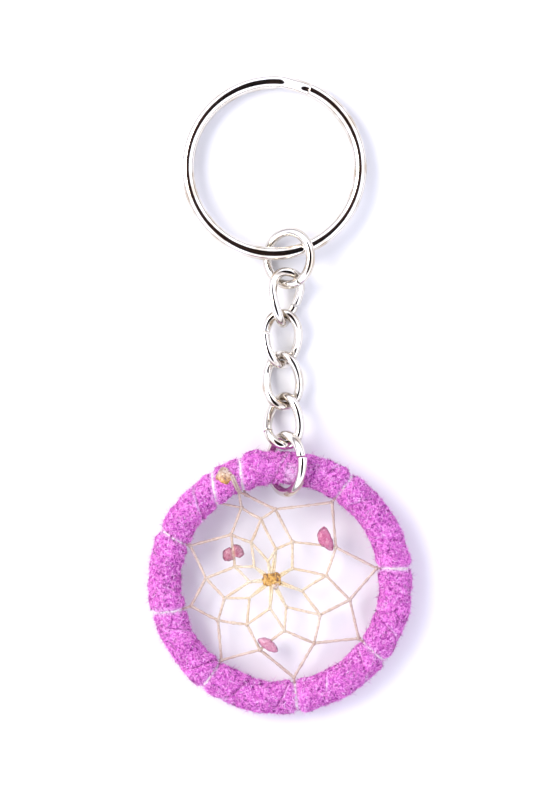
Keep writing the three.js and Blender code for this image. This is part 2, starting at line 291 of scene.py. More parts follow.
def set_shade(piece, name, values):
    """Stores one number per point, which the material reads."""
    layer = piece.data.attributes.new(name, "FLOAT", "POINT")
    layer.data.foreach_set("value", np.asarray(values, dtype=np.float32))


def skin(sections):
    """Points and faces of a closed skin over sections, an array of (rows, sides, 3)."""
    rows, sides = sections.shape[:2]
    row = np.arange(rows - 1)[:, None] * sides
    side = np.arange(sides)[None, :]
    following = (side + 1) % sides
    quads = np.stack([row + side, row + following, row + sides + following, row + sides + side], axis=-1)
    first = np.arange(sides)[::-1][None, :]
    last = (rows - 1) * sides + np.arange(sides)[None, :]
    return sections.reshape(-1, 3), [quads.reshape(-1, 4), first, last]


def turned_over(faces):
    """The same faces, looking the other way."""
    return [group[:, ::-1] for group in faces]


def joined(parts):
    """Several (points, faces) made into one."""
    points = np.concatenate([part[0] for part in parts])
    sizes = {}
    offset = 0
    for part_points, groups in parts:
        for group in groups:
            sizes.setdefault(group.shape[1], []).append(group + offset)
        offset += len(part_points)
    return points, [np.concatenate(groups) for groups in sizes.values()]


def carried_frames(path):
    """Two cross directions along a path, turned as little as possible from point to point."""
    off_every_path = (0.31, 0.17, 0.93)
    tangents = np.gradient(path, axis=0)
    tangents /= np.linalg.norm(tangents, axis=1)[:, None]
    across = np.cross(tangents[0], off_every_path)
    across /= np.linalg.norm(across)
    sides = [across]
    for tangent in tangents[1:]:
        across = sides[-1] - tangent * np.dot(sides[-1], tangent)
        sides.append(across / np.linalg.norm(across))
    sides = np.array(sides)
    return sides, np.cross(tangents, sides)


def tube(path, radius, sides, flatten=1.0):
    """A tube along a path. radius is one number or one per point."""
    across, up = carried_frames(path)
    angle = circle(sides)
    radii = np.broadcast_to(radius, len(path))[:, None, None]
    ring = np.cos(angle)[None, :, None] * across[:, None, :]
    ring = ring + flatten * np.sin(angle)[None, :, None] * up[:, None, :]
    return skin(path[:, None, :] + radii * ring)


def smooth_path(points, step):
    """A Catmull-Rom curve through points, with a point about every step."""
    points = [np.asarray(p, dtype=float) for p in points]
    padded = [2 * points[0] - points[1]] + points + [2 * points[-1] - points[-2]]
    path = []
    for a, b, c, d in zip(padded, padded[1:], padded[2:], padded[3:]):
        count = max(2, int(np.linalg.norm(c - b) / step))
        for t in np.linspace(0, 1, count, endpoint=False):
            path.append(0.5 * (2 * b + (c - a) * t + (2 * a - 5 * b + 4 * c - d) * t**2
                               + (3 * b - a - 3 * c + d) * t**3))
    path.append(points[-1])
    return np.array(path)


# ---- materials


def colour_ramp(tree, source, stops):
    """A ramp of colours over a number, in a material's or the world's nodes."""
    node = tree.nodes.new("ShaderNodeValToRGB")
    ramp = node.color_ramp
    while len(ramp.elements) < len(stops):
        ramp.elements.new(0.5)
    for element, (position, colour) in zip(ramp.elements, stops):
        element.position = position
        element.color = (*colour, 1)
    tree.links.new(source, node.inputs["Fac"])
    return node.outputs["Color"]


class Nodes:
    """A new node material with short helpers for building it."""

    def __init__(self, name):
        self.material = bpy.data.materials.new(name)
        self.material.use_nodes = True
        self.tree = self.material.node_tree
        self.shader = self.tree.nodes["Principled BSDF"]

    def set(self, **values):
        """Numbers for the shader's own sockets, named with _ for each space."""
        for key, value in values.items():
            self.shader.inputs[key.replace("_", " ")].default_value = value

    def add(self, kind, **values):
        node = self.tree.nodes.new(kind)
        for key, value in values.items():
            setattr(node, key, value)
        return node

    def link(self, source, target):
        self.tree.links.new(source, target)

    def noise(self, scale, detail=4.0, roughness=0.6, stretch=(1, 1, 1), distortion=0.0):
        """A noise fixed to the object, with scale features to a metre."""
        place = self.add("ShaderNodeTexCoord")
        mapping = self.add("ShaderNodeMapping")
        mapping.inputs["Scale"].default_value = stretch
        texture = self.add("ShaderNodeTexNoise")
        settings = dict(Scale=scale, Detail=detail, Roughness=roughness, Distortion=distortion)
        for key, value in settings.items():
            texture.inputs[key].default_value = value
        self.link(place.outputs["Object"], mapping.inputs["Vector"])
        self.link(mapping.outputs["Vector"], texture.inputs["Vector"])
        return texture.outputs["Fac"]

    def point_value(self, name):
        """A number stored on the mesh by set_shade."""
        node = self.add("ShaderNodeAttribute", attribute_name=name)
        return node.outputs["Fac"]

    def ramp(self, source, stops):
        return colour_ramp(self.tree, source, stops)

    def mix(self, factor, first, second, mode="MIX"):
        """Two colours mixed, by a number or another node's output."""
        node = self.add("ShaderNodeMix", data_type="RGBA", blend_type=mode)
        if isinstance(factor, float):
            node.inputs[0].default_value = factor
        else:
            self.link(factor, node.inputs[0])
        self.link(first, node.inputs[6])
        self.link(second, node.inputs[7])
        return node.outputs[2]

    def range(self, source, low, high, from_low, from_high):
        """A number from one range carried over to low and high."""
        node = self.add("ShaderNodeMapRange")
        settings = {"From Min": from_low, "From Max": from_high, "To Min": low, "To Max": high}
        for key, value in settings.items():
            node.inputs[key].default_value = value
        self.link(source, node.inputs["Value"])
        return node.outputs["Result"]

    def bump(self, height, distance, strength):
        """The fine relief, with its depth in metres."""
        node = self.add("ShaderNodeBump")
        node.inputs["Distance"].default_value = distance
        node.inputs["Strength"].default_value = strength
        self.link(height, node.inputs["Height"])
        self.link(node.outputs["Normal"], self.shader.inputs["Normal"])

    def colour(self, source):
        self.link(source, self.shader.inputs["Base Color"])

    def roughness(self, source):
        self.link(source, self.shader.inputs["Roughness"])


def nickel_material():
    """Polished nickel, faintly uneven, with brown painted shade where a stored value says so."""
    nodes = Nodes("polished_nickel")
    nodes.set(Metallic=1.0)
    tint = nodes.noise(260, detail=2)
    unshaded = nodes.ramp(tint, [(0.34, (0.58, 0.50, 0.40)), (0.46, (0.77, 0.73, 0.66)),
                              (0.7, (0.84, 0.81, 0.77))])
    # Painted shade where parts meet: a brown darkening.
    painted_shade = nodes.ramp(nodes.noise(900, detail=4), [(0.35, (0.16, 0.12, 0.09)), (0.65, (0.46, 0.38, 0.29))])
    nodes.colour(nodes.mix(nodes.point_value("joint_shade"), unshaded, painted_shade))
    wear = nodes.noise(1400, detail=5, roughness=0.65, stretch=(1, 0.35, 1))
    nodes.roughness(nodes.range(wear, 0.04, 0.15, 0.35, 0.8))
    nodes.bump(nodes.noise(420, detail=3), 0.00005, 0.5)
    return nodes.material


def steel_material():
    """The drawn steel wire that the lace hides."""
    nodes = Nodes("drawn_steel")
    nodes.set(Metallic=1.0)
    tint = nodes.noise(900, detail=4)
    nodes.colour(nodes.ramp(tint, [(0.35, (0.36, 0.34, 0.33)), (0.65, (0.56, 0.55, 0.54))]))
    drawn = nodes.noise(2600, detail=4, stretch=(1, 0.3, 1))
    nodes.roughness(nodes.range(drawn, 0.25, 0.45, 0.3, 0.7))
    nodes.bump(nodes.noise(3000, detail=3), 0.00002, 0.6)
    return nodes.material


def suede_material():
    """Split leather: mottled magenta, with its darkest speckles painted as shade between fibres, and pale
    worn places.
    """
    nodes = Nodes("pink_suede")
    nodes.set(Roughness=0.95, Specular_IOR_Level=0.12)
    speckle = nodes.noise(2300, detail=5, roughness=0.72, distortion=0.8)
    # The darkest stop is painted shade, standing for the gaps between fibres.
    mottled = nodes.ramp(speckle, [(0.36, (0.12, 0.012, 0.11)), (0.45, (0.50, 0.08, 0.44)),
                                   (0.54, (0.78, 0.20, 0.65)), (0.66, (0.90, 0.48, 0.82))])
    patches = nodes.ramp(nodes.noise(380, detail=3), [(0.35, (0.80, 0.76, 0.82)), (0.65, (1.0, 1.0, 1.0))])
    worn = nodes.ramp(speckle, [(0.35, (0.55, 0.32, 0.54)), (0.6, (0.90, 0.76, 0.90))])
    body = nodes.mix(1.0, mottled, patches, "MULTIPLY")
    nodes.colour(nodes.mix(nodes.point_value("worn"), body, worn))
    nodes.bump(nodes.noise(3600, detail=6, roughness=0.75), 0.00012, 1.0)
    return nodes.material


def nap_material():
    """The suede's fibres, each of its own shade from dark purple to pale lilac; those in the seams are
    darker with painted shade.
    """
    nodes = Nodes("pink_suede_nap")
    nodes.set(Roughness=0.9, Specular_IOR_Level=0.12)
    shade = nodes.ramp(nodes.point_value("shade"), [(0.0, (0.12, 0.015, 0.12)), (0.25, (0.42, 0.06, 0.36)),
                                                    (0.5, (0.80, 0.21, 0.66)), (0.82, (0.90, 0.37, 0.79)),
                                                    (1.0, (0.92, 0.60, 0.88))])
    fine = nodes.ramp(nodes.noise(3200, detail=3), [(0.3, (0.78, 0.72, 0.80)), (0.6, (1.0, 1.0, 1.0))])
    nodes.colour(nodes.mix(1.0, shade, fine, "MULTIPLY"))
    nodes.bump(nodes.noise(5200, detail=3), 0.00003, 0.6)
    return nodes.material


def sinew_material(name, outer, inner):
    """Waxed thread, in one pair of colours at the hoop and another at the web's centre."""
    nodes = Nodes(name)
    nodes.set(Roughness=0.42, IOR=1.46)
    nodes.set(Subsurface_Weight=0.3, Subsurface_Radius=(0.9, 0.6, 0.4), Subsurface_Scale=0.0004)
    tone = nodes.ramp(nodes.noise(230, detail=3), [(0.38, outer[0]), (0.66, outer[1])])
    soaked = nodes.ramp(nodes.noise(310, detail=3), [(0.35, inner[0]), (0.65, inner[1])])
    along = nodes.mix(nodes.point_value("near_centre"), tone, soaked)
    strands = nodes.ramp(nodes.noise(4200, detail=3), [(0.35, (0.70, 0.64, 0.60)), (0.6, (1.0, 1.0, 1.0))])
    nodes.colour(nodes.mix(1.0, along, strands, "MULTIPLY"))
    nodes.bump(nodes.noise(4200, detail=4, roughness=0.6), 0.00005, 0.7)
    return nodes.material


def amber_material():
    """Hardened glue: clear gold with brown inside it, whitish where a stored value says so, which on the
    centre run is a painted glint.
    """
    nodes = Nodes("amber_glue")
    nodes.set(Roughness=0.08, IOR=1.5, Transmission_Weight=0.25, Coat_Weight=0.6)
    tone = nodes.noise(1500, detail=5, roughness=0.7, distortion=1.0)
    gold = nodes.ramp(tone, [(0.39, (0.10, 0.03, 0.004)), (0.46, (0.52, 0.24, 0.03)),
                             (0.56, (0.86, 0.46, 0.06)), (0.68, (0.98, 0.80, 0.36))])
    # The whitish colour: a painted highlight on the centre run, paler toward +Y on the first knot's drop.
    whitening = nodes.ramp(tone, [(0.38, (0.30, 0.17, 0.11)), (0.48, (0.62, 0.46, 0.36)),
                             (0.6, (0.94, 0.87, 0.83))])
    nodes.colour(nodes.mix(nodes.point_value("pale_and_glint"), gold, whitening))
    nodes.bump(nodes.noise(1900, detail=4, roughness=0.6), 0.0004, 1.0)
    return nodes.material


def stone_material(name, dark, main, light):
    """Milky pink quartz, with painted shade toward its rim, and brown where it is stained."""
    nodes = Nodes(name)
    nodes.set(IOR=1.5, Transmission_Weight=0.25)
    nodes.set(Subsurface_Weight=0.25, Subsurface_Radius=(1.0, 0.55, 0.7), Subsurface_Scale=0.0005)
    veins = nodes.ramp(nodes.noise(900, detail=6, roughness=0.62, distortion=1.0),
                       [(0.36, main), (0.5, main), (0.64, light)])
    # Painted shade at the chip's rim.
    rim_shade_colour = nodes.ramp(nodes.noise(1500, detail=4), [(0.35, dark), (0.7, main)])
    hole = nodes.ramp(nodes.noise(1700, detail=4), [(0.4, (0.60, 0.30, 0.18)), (0.6, (0.86, 0.66, 0.52))])
    body = nodes.mix(nodes.point_value("stained"), veins, hole)
    nodes.colour(nodes.mix(nodes.point_value("rim_shade"), body, rim_shade_colour))
    nodes.roughness(nodes.range(nodes.noise(1800, detail=4), 0.12, 0.4, 0.3, 0.7))
    nodes.bump(nodes.noise(1300, detail=5), 0.00006, 0.6)
    return nodes.material


def floor_material():
    """A matt white board."""
    nodes = Nodes("white_board")
    nodes.set(Roughness=0.85, Specular_IOR_Level=0.2)
    tint = nodes.noise(90, detail=4)
    nodes.colour(nodes.ramp(tint, [(0.3, (0.79, 0.785, 0.795)), (0.7, (0.82, 0.815, 0.825))]))
    nodes.bump(nodes.noise(2500, detail=3), 0.00002, 0.3)
    return nodes.material


NICKEL = nickel_material()
SUEDE = suede_material()
NAP = nap_material()
TAN = ((0.49, 0.375, 0.33), (0.66, 0.55, 0.48))
GLUE_SOAKED = ((0.68, 0.55, 0.33), (0.78, 0.69, 0.51))
BLEACHED = ((0.76, 0.66, 0.73), (0.90, 0.84, 0.88))
SINEW = sinew_material("waxed_sinew", TAN, GLUE_SOAKED)
PALE_SINEW = sinew_material("bleached_sinew", BLEACHED, BLEACHED)
AMBER = amber_material()
STEEL = steel_material()
# Each stone's first colour is the painted shade at its rim.
STONES = {
    "bead_1": stone_material("mauve_stone", (0.12, 0.03, 0.07), (0.45, 0.155, 0.215), (0.62, 0.35, 0.39)),
    "bead_2": stone_material("rose_stone", (0.20, 0.03, 0.10), (0.545, 0.15, 0.275), (0.73, 0.42, 0.50)),
    "bead_3": stone_material("pale_rose_stone", (0.12, 0.04, 0.09), (0.60, 0.26, 0.36), (0.84, 0.61, 0.68)),
}


# ---- rings and links


def bent_loop(half_width, half_length, twist, roundness, cut_at, wire, steps, offset):
    """A wire bent into an oval, with twisted ends and a butt joint whose ends are a little out of line."""
    fade = 14
    gap_angle = math.degrees(BUTT_GAP / half_width)
    t = np.linspace(0, 1, steps + 1)
    angle = np.radians(cut_at + gap_angle / 2 + t * (360 - gap_angle))
    power = 2 / roundness
    across = signed_power(np.cos(angle), power)
    along = signed_power(np.sin(angle), power)
    turn = np.radians(twist) * along
    slip = offset * (np.exp(-t * fade) - np.exp(-(1 - t) * fade))
    x = half_width * across
    path = np.stack([x * np.cos(turn), half_length * along, x * np.sin(turn) + slip], axis=-1)
    return bevelled_wire(path, wire)


def bevelled_wire(path, radius):
    """A round wire with flat cut ends that have a small bevel."""
    start = path[0] + (path[1] - path[0]) * BEVEL_LENGTH
    end = path[-1] + (path[-2] - path[-1]) * BEVEL_LENGTH
    path = np.concatenate([[path[0]], [start], path[1:-1], [end], [path[-1]]])
    radii = np.full(len(path), radius)
    radii[0] = radii[-1] = radius * BEVEL_RADIUS
    return tube(path, radii, 28)


def inner_ends(points):
    """One inside a link's two ends, where it meets its neighbours and shade is painted, and none on its
    sides.
    """
    share = np.abs(points[:, 1]) / np.abs(points[:, 1]).max()
    end = np.clip((share - 0.6) / 0.15, 0, 1)
    outer = np.clip((share - 0.82) / 0.1, 0, 1)
    return end * (1 - outer)


def metal_piece(node, shape, turn, centre):
    """The nickel piece that stands for one CAD ring or link."""
    points, faces = shape
    piece = mesh_object(node + "_bent_wire", placed(points, turn, centre), faces, NICKEL)
    # Painted shade: brown darkening inside the ends, where this piece meets its neighbours.
    set_shade(piece, "joint_shade", inner_ends(points) * JOINT_SHADE.get(node, LINK_JOINT_SHADE))
    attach(piece, node)
    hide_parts(node)


def make_round_ring(node, radius, wire, tilt, cut_at, offset):
    """A jump ring, tilted about the row."""
    shape = bent_loop(radius, radius, 0, 2, cut_at, wire, steps=150, offset=offset)
    turn = Matrix.Rotation(math.radians(-tilt), 3, "Y")
    metal_piece(node, shape, turn, mean_place(node))


def make_link(node):
    """A curb link, turned as it lies in the row."""
    pitch, roll, lean, cut_at = LINK_TURNS[node]
    shape = bent_loop(cut_at=cut_at, steps=170, **LINK)
    turn = Matrix.Rotation(math.radians(lean), 3, "Z")
    turn = turn @ Matrix.Rotation(math.radians(pitch), 3, "X")
    turn = turn @ Matrix.Rotation(math.radians(roll), 3, "Y")
    metal_piece(node, shape, turn, mean_place(node))


def key_wire_section():
    """How far across and up the flat wire's surface is, going round it."""
    angle = circle(40)
    upper = np.sin(angle) > 0
    power = 2 / np.where(upper, KEY_UPPER_FACE["roundness"], KEY_LOWER_FACE["roundness"])
    rise = np.where(upper, KEY_UPPER_FACE["rise"], KEY_LOWER_FACE["rise"])
    across = signed_power(np.cos(angle), power) / 2
    up = rise * signed_power(np.sin(angle), power) - KEY_WIRE_DROP
    return across * KEY_RING["width"], up * KEY_RING["height"]


def make_key_ring():
    """One flat wire in two turns: round the upper turn, down the step, and round the lower turn."""
    total = KEY_UPPER_END - KEY_LOWER_END + 720
    upper_turn = KEY_UPPER_END + 360 - KEY_STEP_FROM
    step = KEY_STEP_FROM - KEY_STEP_TO
    level = (KEY_RING["height"] + KEY_RING["gap"]) / 2
    travelled = np.linspace(0, total, 700)
    angle = np.radians(KEY_UPPER_END - travelled)
    down = np.clip((travelled - upper_turn) / step, 0, 1)
    down = down * down * (3 - 2 * down)
    height = level * (1 - 2 * down)
    swell = KEY_SWELL * wave_noise(np.stack([travelled, 0 * travelled, 0 * travelled], axis=-1), 90, 5)
    radius = KEY_RING["radius"] + swell - KEY_STEP_DRAWN_IN * np.sin(math.pi * down)
    across, up = key_wire_section()
    ends = np.ones(len(travelled))
    ends[0] = ends[-1] = KEY_END_SIZE
    reach = radius[:, None] + ends[:, None] * across[None, :]
    points = np.stack([reach * np.cos(angle)[:, None], reach * np.sin(angle)[:, None],
                       height[:, None] + ends[:, None] * up[None, :]], axis=-1)
    points, faces = skin(points)
    turn = Matrix.Rotation(math.radians(-KEY_RING["tilt"]), 3, "X")
    metal_piece("key_ring", (points, turned_over(faces)), turn, box_middle("key_ring"))


# ---- suede wrap


def hoop_frame():
    """The hoop's centre in metres, and its turn."""
    return box_middle("hoop_core"), Matrix.Rotation(math.radians(HOOP_TILT), 3, "X")


def tube_point(around_hoop, around_tube, distance):
    """Points on the hoop's tube, in millimetres from the hoop's centre. The angles are in radians."""
    reach = HOOP_RADIUS + distance * np.cos(around_tube)
    return np.stack([reach * np.cos(around_hoop), reach * np.sin(around_hoop),
                     distance * np.sin(around_tube)], axis=-1)


def hoop_mesh(name, points, faces, material):
    """A mesh object of points in millimetres from the hoop's centre, in its plane."""
    centre, turn = hoop_frame()
    return mesh_object(name, placed(points, turn, centre), faces, material)


def angle_between(a, b):
    """How far a is on from b, in radians, the short way round."""
    return (a - b + math.pi) % math.tau - math.pi


def loop_angle(loop, around_tube):
    """The hoop angle of a sinew loop as it goes round the tube."""
    inner, outer = np.radians(SUEDE_LOOPS[loop][:2])
    share = 0.5 - 0.5 * np.cos(around_tube)
    return outer + angle_between(inner, outer) * share


def nearest_seam(around_hoop, around_tube):
    """The nearest seam between two turns of the lace: its number, and how far on from it, in millimetres."""
    pitch = math.tau / LACE_TURNS
    along = (around_hoop - math.radians(LACE_START) - pitch / 2) / pitch - around_tube / math.tau
    number = np.round(along).astype(int)
    return number % LACE_TURNS, (along - number) * pitch * HOOP_RADIUS


def seam_dip(around_hoop, around_tube):
    """Some turns of the lace lie close to the next one and some leave a deeper groove."""
    number, away = nearest_seam(around_hoop, around_tube)
    depths = np.random.default_rng(61).uniform(*SEAM_DEPTHS, LACE_TURNS)
    return depths[number] * bell(away, SEAM_WIDTH)


def away_from_loop(loop, around_hoop, around_tube):
    """How far along the hoop a place is from a sinew loop, in millimetres."""
    return angle_between(around_hoop, loop_angle(loop, around_tube)) * HOOP_RADIUS


def wrap_radius(around_hoop, around_tube):
    """The suede's radius about the tube's middle: soft swells, seams, and the pinches of the sinew loops."""
    at = tube_point(around_hoop, around_tube, WRAP_RADIUS)
    radius = WRAP_RADIUS - seam_dip(around_hoop, around_tube)
    for height, length, seed in SUEDE_SWELLS:
        radius = radius + height * wave_noise(at, length, seed)
    for loop in range(LOOPS):
        away = away_from_loop(loop, around_hoop, around_tube)
        depth = SHALLOW_PINCH_DEPTH if loop in SHALLOW_PINCHES else PINCH_DEPTH
        lip = LIP_HEIGHT * bell(np.abs(away) - LIP_AWAY, LIP_WIDTH)
        radius = radius - depth * bell(away, PINCH_WIDTH) + lip
    outer_side = np.clip(np.cos(around_tube), 0, 1)
    lap = bell(angle_between(around_hoop, math.radians(LAP_AT)), LAP_REACH)
    radius = radius + LAP_HEIGHT * lap * outer_side
    pressed = plateau(angle_between(around_hoop, math.radians(PRESSED_AT)), PRESSED_REACH)
    return radius - pressed * np.clip(radius - PRESSED_RADIUS - PRESSED_BULGE * outer_side, 0, None)


def worn_places(around_hoop, around_tube):
    """How pale the suede is from rubbing or cutting, from none to fully."""
    worn = np.zeros(np.shape(around_hoop))
    for loop in range(LOOPS):
        away = away_from_loop(loop, around_hoop, around_tube)
        worn = np.maximum(worn, (0.2 + 0.65 * SUEDE_LOOPS[loop][2]) * bell(away, 0.4))
    number, away = nearest_seam(around_hoop, around_tube)
    at = tube_point(around_hoop.ravel(), around_tube.ravel(), WRAP_RADIUS)
    shown = np.clip(0.3 + 1.3 * wave_noise(at, 5.0, 65), 0, 1).reshape(worn.shape)
    edges = np.random.default_rng(67).choice(CUT_EDGE_SHADES, LACE_TURNS)
    edges[PALE_SEAM] = PALE_SEAM_SHADE
    worn = np.maximum(worn, edges[number] * shown * bell(away - CUT_EDGE_AWAY, CUT_EDGE_WIDTH))
    along = plateau(angle_between(around_hoop, math.radians(RUBBED_AT[0])), RUBBED_REACH[0])
    across = plateau(angle_between(around_tube, math.radians(RUBBED_AT[1])), RUBBED_REACH[1])
    return np.maximum(worn, RUBBED_SHADE * along * across)


def finish_core():
    """The core inside the lace is the CAD's own ring, in drawn steel."""
    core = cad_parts["hoop_core"]
    core.data.materials.clear()
    core.data.materials.append(STEEL)


def make_suede():
    """The lace: a strip that covers one pitch of the hoop in each turn, with a roughened outer face."""
    rows = LACE_TURNS * 104
    clear_of_end = 0.03
    pitch = math.tau / LACE_TURNS
    reach = pitch / 2 - SEAM_HALF_GAP
    around_tube = np.linspace(clear_of_end, LACE_TURNS * math.tau - clear_of_end, rows)[:, None]
    middle_line = math.radians(LACE_START) + around_tube / math.tau * pitch
    around_hoop = middle_line + np.linspace(-1, 1, 45)[None, :] * reach
    tube_angle = np.broadcast_to(around_tube, around_hoop.shape)
    radius = wrap_radius(around_hoop.ravel(), tube_angle.ravel() % math.tau)
    at = tube_point(around_hoop.ravel(), tube_angle.ravel(), WRAP_RADIUS)
    height, length, seed = SUEDE_TUFTS
    radius = radius + height * (np.abs(wave_noise(at, length, seed)) - 0.5)
    height, length, seed = SUEDE_PITS
    radius = radius + height * wave_noise(at, length, seed)
    outer = tube_point(around_hoop.ravel(), tube_angle.ravel(), radius).reshape(rows, -1, 3)
    inner_hoop = middle_line + np.linspace(1, -1, 5)[None, :] * reach
    inner = tube_point(inner_hoop, np.broadcast_to(around_tube, inner_hoop.shape), LACE_INNER_RADIUS)
    points, faces = skin(np.concatenate([outer, inner], axis=1))
    piece = hoop_mesh("suede_lace", points, turned_over(faces), SUEDE)
    worn = np.zeros((rows, outer.shape[1] + inner.shape[1]))
    worn[:, :outer.shape[1]] = worn_places(around_hoop, tube_angle)
    set_shade(piece, "worn", worn.ravel())
    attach(piece, "hoop")
    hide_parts("suede_wrap")


def make_nap(name, count, seed, length, width, lift):
    """Fibres that stand out of the suede, in clumps: each a narrow bent blade of two faces."""
    hang = 0.25
    knee_hang = 0.2
    rng = np.random.default_rng(seed)
    around_hoop = rng.uniform(0, math.tau, count)
    around_tube = rng.uniform(0, math.tau, count)
    share = (HOOP_RADIUS + WRAP_RADIUS * np.cos(around_tube)) / (HOOP_RADIUS + WRAP_RADIUS)
    seam = bell(nearest_seam(around_hoop, around_tube)[1], 0.16)
    share = share * (1 - 0.85 * worn_places(around_hoop, around_tube)) * (1 - 0.7 * seam)
    keep = rng.uniform(0, 1, count) < share
    around_hoop = around_hoop[keep]
    around_tube = around_tube[keep]
    count = len(around_hoop)
    root = tube_point(around_hoop, around_tube, wrap_radius(around_hoop, around_tube) - 0.03)
    out = tube_point(around_hoop, around_tube, 1.0) - tube_point(around_hoop, around_tube, 0.0)
    round_hoop = np.stack([-np.sin(around_hoop), np.cos(around_hoop), 0 * around_hoop], axis=-1)
    round_tube = np.cross(out, round_hoop)
    flow = 2.6 * wave_noise(root, 2.2, seed + 1) + rng.normal(0, 0.6, count)
    lie = np.cos(flow)[:, None] * round_hoop + np.sin(flow)[:, None] * round_tube
    rise = rng.uniform(*lift, count)[:, None]
    direction = rise * out + np.sqrt(1 - rise**2) * lie
    long = (rng.uniform(*length, count) * rng.choice([1.0, 1.0, 1.0, 1.5], count))[:, None]
    half = (rng.uniform(*width, count) / 2)[:, None]
    side = np.cross(direction, out + 0.5 * rng.normal(size=(count, 3)))
    side /= np.linalg.norm(side, axis=1)[:, None]
    bend = lie * 0.35 + 0.3 * rng.normal(size=(count, 3)) + 0.1 * out
    knee = root + direction * long * 0.55
    tip = knee + (direction + bend) * long * 0.5
    tip[:, 2] = np.maximum(tip[:, 2], root[:, 2] - hang)
    knee[:, 2] = np.maximum(knee[:, 2], root[:, 2] - knee_hang)
    points = np.stack([root - side * half, root + side * half, knee + side * half * 0.9,
                       knee - side * half * 0.9, tip], axis=1)
    base = np.arange(count)[:, None] * 5
    faces = [base + np.array([[0, 1, 2, 3]]), base + np.array([[3, 2, 4]])]
    piece = hoop_mesh(name, points.reshape(-1, 3), faces, NAP)
    clump = 0.56 + 0.15 * wave_noise(root, 0.8, seed + 2) + rng.normal(0, 0.2, count)
    # Painted shade: the fibres in the seams between turns of the lace are made darker.
    clump = clump - 0.25 * seam[keep] + rng.choice([0.0, -0.6, 0.45], count, p=[0.82, 0.1, 0.08])
    set_shade(piece, "shade", np.repeat(np.clip(clump, 0, 1), 5))
    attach(piece, "hoop")


# ---- sinew web


def in_plane(stitch, z=0.0):
    """A stitch as a point in the hoop's frame, at a height over its plane."""
    return np.array([stitch[0], stitch[1], z])


def web_strand(a, corner, b, rng):
    """The thread from one stitch to the next, bent where the following round is hitched to it."""
    a, corner, b = in_plane(a, 0.05), in_plane(corner, -0.03), in_plane(b, 0.05)
    ease = 0.3
    to_a = (a - corner) / np.linalg.norm(a - corner)
    to_b = (b - corner) / np.linalg.norm(b - corner)
    bow_a = (a + corner) / 2 + np.array([*rng.normal(0, 0.035, 2), rng.normal(0, 0.05)])
    bow_b = (b + corner) / 2 + np.array([*rng.normal(0, 0.035, 2), rng.normal(0, 0.05)])
    route = [a, bow_a, corner + to_a * ease, corner + (to_a + to_b) * 0.06, corner + to_b * ease, bow_b, b]
    path = smooth_path(route, 0.16)
    radii = STRAND_RADIUS * (1 + 0.12 * wave_noise(path, 0.9, 31) + 0.07 * wave_noise(path, 0.35, 32))
    return tube(path, radii, 10, flatten=STRAND_FLATNESS)


def hitch(at, direction, rng, size):
    """A turn and a half of thread round a strand that runs along a direction."""
    t = np.linspace(0, 1, 34)
    angle = rng.uniform(0, math.tau) + t * math.tau * 1.5
    side = np.array([-direction[1], direction[0], 0.0])
    up = np.array([0, 0, 1.0])
    path = at + np.outer((t - 0.5) * 0.34, direction)
    path = path + size * (np.outer(np.cos(angle), side) + 0.85 * np.outer(np.sin(angle), up))
    radii = HITCH_RADIUS * np.minimum(1, np.minimum(t, 1 - t) * 9 + 0.35)
    return tube(path, radii, 8)


def suede_loop(loop):
    """The sinew round the wrapped hoop, pulled flat and half sunk in the suede."""
    around_tube = np.linspace(0, math.tau, 72)
    around_hoop = loop_angle(loop, around_tube)
    at = tube_point(around_hoop, around_tube, WRAP_RADIUS)
    bare = SUEDE_LOOPS[loop][2]
    sunk = 0.05 - 0.09 * bare
    distance = wrap_radius(around_hoop, around_tube) - sunk + 0.05 * wave_noise(at, 1.6, 41 + loop)
    spread = 0.15 + 0.1 * bare * (0.6 + 0.4 * np.cos(around_tube))
    half_width = spread + 0.06 * wave_noise(at, 2.0, 61 + loop)
    section = circle(10)
    sideways = around_hoop[:, None] + half_width[:, None] * np.cos(section)[None, :] / HOOP_RADIUS
    outwards = distance[:, None] + 0.1 * np.sin(section)[None, :]
    angle = np.broadcast_to(around_tube[:, None], sideways.shape)
    points, faces = skin(tube_point(sideways, angle, outwards))
    return points, turned_over(faces)


def tail_to_stitch(loop):
    """The stretch from a loop at the hoop's inner edge to its stitch in the web."""
    angle = math.radians(SUEDE_LOOPS[loop][0])
    start = tube_point(np.array([angle]), np.array([math.pi]), np.array([1.9]))[0]
    end = in_plane(STITCHES[loop])
    above = (start * 0.6 + end * 0.4) + np.array([0, 0, 0.16])
    return tube(smooth_path([start, above, end], 0.15), TAIL_RADIUS, 10)


def web_rounds(rng):
    """The rounds of stitches, each strand with the next round's hitch on it."""
    parts = []
    for k in range(LAST_ROUND):
        a, corner, b = STITCHES[k], STITCHES[k + LOOPS], STITCHES[k + 1]
        parts.append(web_strand(a, corner, b, rng))
        direction = in_plane(b) - in_plane(a)
        direction /= np.linalg.norm(direction)
        parts.append(hitch(in_plane(corner), direction, rng, HITCH_SIZE))
    return parts


def doubled_threads(rng):
    """The two threads from each stitch of the last round to the centre."""
    parts = []
    for k in range(LAST_ROUND, len(STITCHES)):
        start = in_plane(STITCHES[k])
        end = in_plane(CENTRE_KNOT)
        along = end - start
        side = np.array([-along[1], along[0], 0]) / np.linalg.norm(along)
        for way in (-1, 1):
            bow = (start + end) / 2 + side * way * 0.14 + np.array([0, 0, rng.normal(0, 0.05)])
            path = smooth_path([start, bow, end + side * way * 0.2], 0.16)
            parts.append(tube(path, DOUBLED_RADIUS * (1 + 0.1 * wave_noise(path, 0.8, 33)), 10))
    return parts


def hoop_stitches(rng):
    """The stretches from the loops on the hoop, and their hitches."""
    parts = []
    for loop in range(LOOPS):
        parts.append(tail_to_stitch(loop))
        away = in_plane(STITCHES[loop]) / np.linalg.norm(STITCHES[loop])
        parts.append(hitch(in_plane(STITCHES[loop]), away, rng, HOOP_HITCH_SIZE))
    return parts


